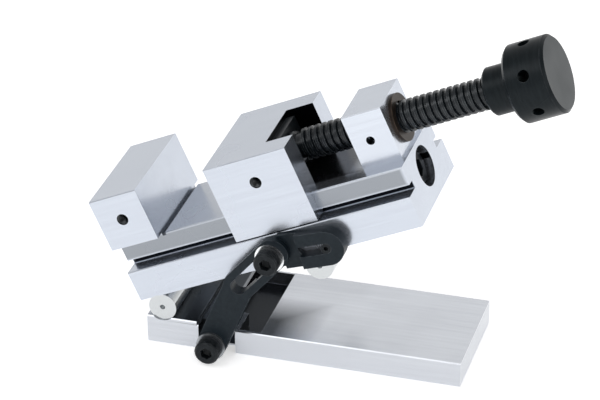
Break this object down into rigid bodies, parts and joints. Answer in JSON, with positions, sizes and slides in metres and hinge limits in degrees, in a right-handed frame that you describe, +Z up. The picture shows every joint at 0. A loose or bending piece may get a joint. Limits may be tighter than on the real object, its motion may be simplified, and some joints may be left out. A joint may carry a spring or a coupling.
{
  "type": "sine vise",
  "caption": "Toolmaker's sine vise: ground steel vise body tilting on a hinge roll over a base plate, screw-driven sliding jaw, elbow lock links.",
  "frame": {"origin": "centre of the underside of the base plate", "axes": "+X along the base towards the knob end, +Y to the back, away from the lock links, +Z up"},
  "size_m": [0.2612, 0.0875, 0.1992],
  "materials": {
    "base_steel": "ground, semi-mirror",
    "ground_steel": "surface ground",
    "roll_steel": "fine ground and polished",
    "screw_black": "black oxide",
    "link_black": "black oxide, satin",
    "bush_bronze": "oiled bronze",
    "washer_bright": "bright plated",
    "thread_black": "black oxide, oiled",
    "knob_black": "black oxide, satin"
  },
  "bodies": {
    "base": {"base_plate": "base_steel", "base_pivot_screw": "screw_black", "base_pivot_washer": "washer_bright"},
    "base_link_body": {"base_link": "link_black"},
    "tilting_body": {"vise_body": "ground_steel", "hinge_roll": "roll_steel", "hinge_roll_screw_front": "screw_black", "hinge_roll_screw_back": "screw_black", "sine_roll": "roll_steel", "sine_roll_screw_front": "screw_black", "sine_roll_screw_back": "screw_black", "end_block": "ground_steel", "block_screw_front": "screw_black", "block_screw_back": "screw_black", "nut_bush": "bush_bronze", "end_cap_screw": "screw_black", "body_link_pin": "screw_black"},
    "body_link_body": {"body_link": "link_black", "elbow_screw": "screw_black", "elbow_washer": "washer_bright"},
    "sliding_jaw": {"movable_jaw": "ground_steel", "keeper_front": "ground_steel", "keeper_back": "ground_steel", "keeper_screw_front_left": "screw_black", "keeper_screw_front_right": "screw_black", "keeper_screw_back_left": "screw_black", "keeper_screw_back_right": "screw_black", "retainer_front": "link_black", "retainer_back": "link_black", "retainer_screw_front": "screw_black", "retainer_screw_back": "screw_black"},
    "screw": {"lead_screw": "thread_black", "knob": "knob_black", "knob_set_screw": "screw_black"}
  },
  "joints": [
    {"name": "tilt", "type": "hinge", "parent": "base", "child": "tilting_body", "pos_m": [-0.081, 0, 0.023], "axis": [0, -1, 0], "range_deg": [-23.8, 6]},
    {"name": "base_link_swing", "type": "hinge", "parent": "base", "child": "base_link_body", "pos_m": [-0.05, -0.035, 0.0084], "axis": [0, -1, 0], "range_deg": [-24.8, 7]},
    {"name": "body_link_swing", "type": "hinge", "parent": "tilting_body", "child": "body_link_body", "pos_m": [0.01657, -0.035, 0.08045], "axis": [0, -1, 0], "range_deg": [-12.9, 4]},
    {"name": "jaw_slide", "type": "slide", "parent": "tilting_body", "child": "sliding_jaw", "axis": [0.9135, 0, 0.4067], "range_m": [-0.0432, 0.0292]},
    {"name": "screw_spin", "type": "hinge", "parent": "sliding_jaw", "child": "screw", "pos_m": [0.03277, 0, 0.13626], "axis": [0.9135, 0, 0.4067], "range_deg": [-3900, 2640]}
  ],
  "couplings": [
    {"joint": "base_link_swing", "follows": "tilt", "ratio": 1},
    {"joint": "body_link_swing", "follows": "tilt", "ratio": 0.5},
    {"joint": "screw_spin", "follows": "jaw_slide", "rad_per_m": 1570.8}
  ]
}
